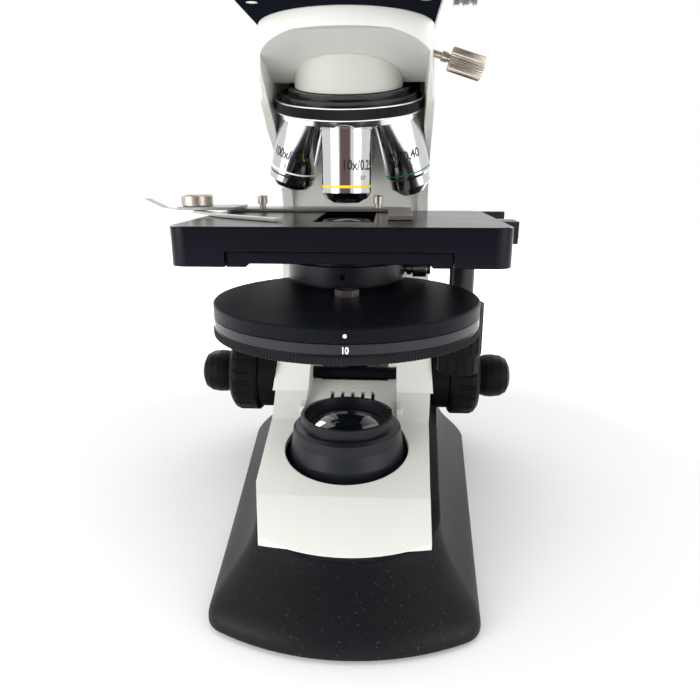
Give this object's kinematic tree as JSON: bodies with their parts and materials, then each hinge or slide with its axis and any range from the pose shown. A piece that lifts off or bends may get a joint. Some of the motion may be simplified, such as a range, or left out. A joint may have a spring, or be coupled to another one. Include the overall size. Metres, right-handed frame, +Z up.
{
  "type": "upright phase contrast microscope",
  "caption": "Upright laboratory microscope with a revolving nosepiece, a mechanical stage, a condenser with a phase disc, coaxial focus knobs and a binocular head.",
  "frame": {"origin": "point on the table where the optical axis of the working objective meets it", "axes": "+Z up along the optical axis, +Y from the user towards the arm's back, +X to the user's right"},
  "size_m": [0.222, 0.2524, 0.35],
  "materials": {
    "paint_white": "semi-matt light paint with a fine grain",
    "skirt_plastic": "dark blue-grey moulded plastic",
    "black_paint": "satin black paint",
    "black_anodised": "satin black anodised",
    "knob_plastic": "dark grey moulded plastic",
    "rubber": "plain black rubber",
    "plate_steel": "dark painted sheet",
    "chrome": "bright chrome plate",
    "steel": "turned steel",
    "brass_nickel": "nickelled brass, worn warm",
    "glass": "polished lens",
    "mirror": "front-silvered mirror",
    "lamp_glass": "clear lamp bulb",
    "board": "green circuit board"
  },
  "bodies": {
    "stand": {"base_cover": "paint_white", "base_skirt": "skirt_plastic", "bottom_plate": "plate_steel", "rubber_feet": "rubber", "collector_housing": "black_anodised", "field_lens": "glass", "arm": "paint_white", "throat_lining": "black_paint", "focus_guide": "steel", "focus_hub": "knob_plastic", "nosepiece_dome": "paint_white", "lamp_mirror": "mirror", "lamp_holder": "black_paint", "lamp": "lamp_glass", "circuit_board": "board", "power_inlet": "knob_plastic", "switch_bezel": "knob_plastic"},
    "coarse_drive": {"coarse_knobs": "knob_plastic"},
    "fine_drive": {"fine_knobs": "knob_plastic"},
    "tension_drive": {"tension_ring": "knob_plastic"},
    "focus_block": {"focus_carriage": "black_anodised"},
    "stage_carrier": {"stage_bracket": "black_anodised", "stage_base": "black_anodised"},
    "stage_plate": {"stage_top": "black_anodised", "x_rail": "black_anodised", "stage_side_block": "black_anodised", "drive_tube": "black_anodised"},
    "y_drive": {"y_drive_knob": "knob_plastic"},
    "x_drive": {"x_drive_knob": "knob_plastic"},
    "slide_carriage": {"slide_holder": "black_anodised", "holder_screws": "steel"},
    "finger": {"slide_finger": "steel", "finger_nut": "knob_plastic"},
    "nosepiece": {"nosepiece_turret": "chrome", "objective_10x": "chrome", "objective_20x": "chrome", "objective_40x": "chrome", "objective_100x": "chrome"},
    "condenser": {"condenser_carrier": "black_anodised", "condenser_barrel": "black_anodised", "condenser_lens": "glass", "turret_casing": "black_anodised", "turret_pivot": "steel"},
    "condenser_drive": {"condenser_knob": "knob_plastic"},
    "condenser_clamp": {"condenser_clamp_screw": "steel"},
    "phase_turret": {"phase_disc": "black_anodised", "phase_annuli": "steel"},
    "head": {"head_plate": "black_paint", "head_screws": "steel", "head_housing": "paint_white", "phototube": "black_anodised"},
    "splitter": {"splitter_rod": "steel"},
    "left_tube": {"left_prism_arm": "paint_white", "left_eyepiece": "black_anodised"},
    "right_tube": {"right_prism_arm": "paint_white", "right_eyepiece": "black_anodised"},
    "dioptre": {"dioptre_ring": "black_anodised"},
    "head_clamp": {"head_clamp_screw": "brass_nickel"},
    "power_rocker": {"power_switch": "knob_plastic"},
    "dimmer": {"dimmer_dial": "knob_plastic"}
  },
  "joints": [
    {"name": "coarse_focus", "type": "slide", "parent": "stand", "child": "focus_block", "axis": [0, 0, 1], "range_m": [-0.025, 0]},
    {"name": "fine_focus", "type": "slide", "parent": "focus_block", "child": "stage_carrier", "axis": [0, 0, 1], "range_m": [-0.001, 0.001]},
    {"name": "coarse_turn", "type": "hinge", "parent": "stand", "child": "coarse_drive", "pos_m": [0, 0.0767, 0.061], "axis": [1, 0, 0], "range_deg": [-360, 2]},
    {"name": "fine_turn", "type": "hinge", "parent": "stand", "child": "fine_drive", "pos_m": [0, 0.0767, 0.061], "axis": [1, 0, 0], "range_deg": [-1805, 1805]},
    {"name": "tension_turn", "type": "hinge", "parent": "stand", "child": "tension_drive", "pos_m": [0, 0.0767, 0.061], "axis": [1, 0, 0], "range_deg": [0, 270]},
    {"name": "stage_y", "type": "slide", "parent": "stage_carrier", "child": "stage_plate", "axis": [0, 1, 0], "range_m": [-0.025, 0.008]},
    {"name": "y_turn", "type": "hinge", "parent": "stage_plate", "child": "y_drive", "pos_m": [0.0625, 0.025, 0.121], "axis": [0, 0, 1], "range_deg": [-288, 93]},
    {"name": "stage_x", "type": "slide", "parent": "stage_plate", "child": "slide_carriage", "axis": [1, 0, 0], "range_m": [-0.026, 0.042]},
    {"name": "x_turn", "type": "hinge", "parent": "stage_plate", "child": "x_drive", "pos_m": [0.0625, 0.025, 0.09], "axis": [0, 0, 1], "range_deg": [-483, 300]},
    {"name": "finger_swing", "type": "hinge", "parent": "slide_carriage", "child": "finger", "pos_m": [-0.086, 0.03, 0.171], "axis": [0, 0, 1], "range_deg": [-30, 0], "stiffness_Nm_per_rad": 0.02, "springref_deg": 5.73},
    {"name": "nosepiece_turn", "type": "hinge", "parent": "stand", "child": "nosepiece", "pos_m": [0, 0, 0.3048], "axis": [0, 0.2588, -0.9659], "continuous": true},
    {"name": "condenser_height", "type": "slide", "parent": "stage_carrier", "child": "condenser", "axis": [0, 0, 1], "range_m": [-0.02, 0]},
    {"name": "condenser_turn", "type": "hinge", "parent": "stage_carrier", "child": "condenser_drive", "pos_m": [-0.03, 0.0655, 0.12], "axis": [1, 0, 0], "range_deg": [-2, 231]},
    {"name": "condenser_clamp_turn", "type": "hinge", "parent": "condenser", "child": "condenser_clamp", "pos_m": [0.035, 0, 0.1443], "axis": [1, 0, 0], "range_deg": [0, 180]},
    {"name": "phase_turn", "type": "hinge", "parent": "condenser", "child": "phase_turret", "pos_m": [0.003, -0.0435, 0.128], "axis": [0, 0, 1], "continuous": true},
    {"name": "head_turn", "type": "hinge", "parent": "stand", "child": "head", "pos_m": [0, 0, 0.2578], "axis": [0, 0, 1], "continuous": true},
    {"name": "head_clamp_turn", "type": "hinge", "parent": "stand", "child": "head_clamp", "pos_m": [0, 0, 0.25886], "axis": [0.9537, 0, -0.3007], "range_deg": [0, 180]},
    {"name": "left_eye_turn", "type": "hinge", "parent": "head", "child": "left_tube", "pos_m": [0, -0.0555, 0.27922], "axis": [0, -0.866, 0.5], "range_deg": [-18, 30]},
    {"name": "right_eye_turn", "type": "hinge", "parent": "head", "child": "right_tube", "pos_m": [0, -0.0555, 0.27922], "axis": [0, -0.866, 0.5], "range_deg": [-30, 18]},
    {"name": "dioptre_turn", "type": "hinge", "parent": "left_tube", "child": "dioptre", "pos_m": [-0.032, -0.04572, 0.29615], "axis": [0, -0.866, 0.5], "range_deg": [-150, 150]},
    {"name": "splitter_pull", "type": "slide", "parent": "head", "child": "splitter", "axis": [1, 0, 0], "range_m": [0, 0.018]},
    {"name": "power_press", "type": "hinge", "parent": "stand", "child": "power_rocker", "pos_m": [0, 0.123, 0.022], "axis": [1, 0, 0], "range_deg": [0, 8]},
    {"name": "dimmer_turn", "type": "hinge", "parent": "stand", "child": "dimmer", "pos_m": [0.03, 0.124, 0.022], "axis": [0, 1, 0], "range_deg": [0, 270]}
  ],
  "couplings": [
    {"joint": "coarse_turn", "follows": "coarse_focus", "rad_per_m": 250},
    {"joint": "fine_turn", "follows": "fine_focus", "rad_per_m": 31416},
    {"joint": "y_turn", "follows": "stage_y", "rad_per_m": 200},
    {"joint": "x_turn", "follows": "stage_x", "rad_per_m": -200},
    {"joint": "condenser_turn", "follows": "condenser_height", "rad_per_m": -200},
    {"joint": "right_eye_turn", "follows": "left_eye_turn", "ratio": -1}
  ]
}
